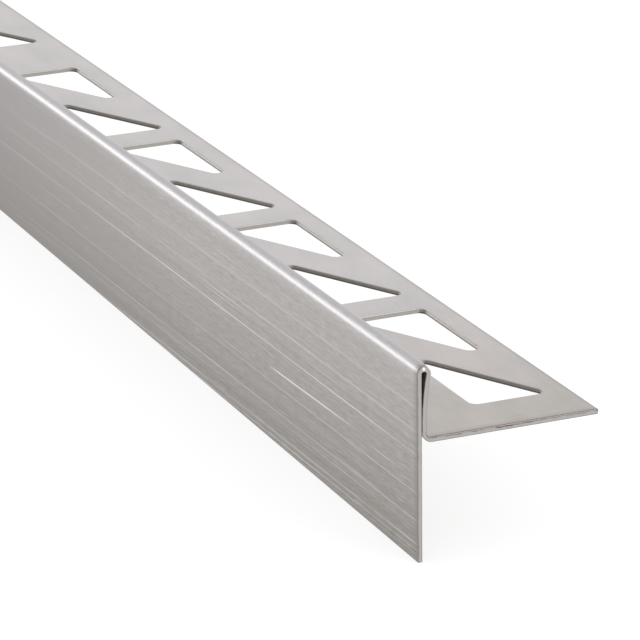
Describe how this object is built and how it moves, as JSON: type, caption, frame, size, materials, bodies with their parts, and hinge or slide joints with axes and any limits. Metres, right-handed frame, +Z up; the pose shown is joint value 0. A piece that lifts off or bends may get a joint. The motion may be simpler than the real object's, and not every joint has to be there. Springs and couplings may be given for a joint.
{
  "type": "tapered shower tile-edge profile",
  "caption": "Folded stainless steel strip that trims the side of a sloping shower floor: tapered visible leg, hemmed top, punched anchor leg for tile adhesive.",
  "frame": {"origin": "centre of the strip's footprint, on the floor that its sheared edge stands on", "axes": "+X along the strip towards its tall end, -Y is what the visible face looks at, +Z up"},
  "size_m": [0.9804, 0.031, 0.0321],
  "materials": {
    "stainless_steel": "visible leg brushed along its length, anchor leg left in the mill's matt finish"
  },
  "bodies": {
    "root": {"wedge_profile": "stainless_steel"}
  },
  "joints": []
}
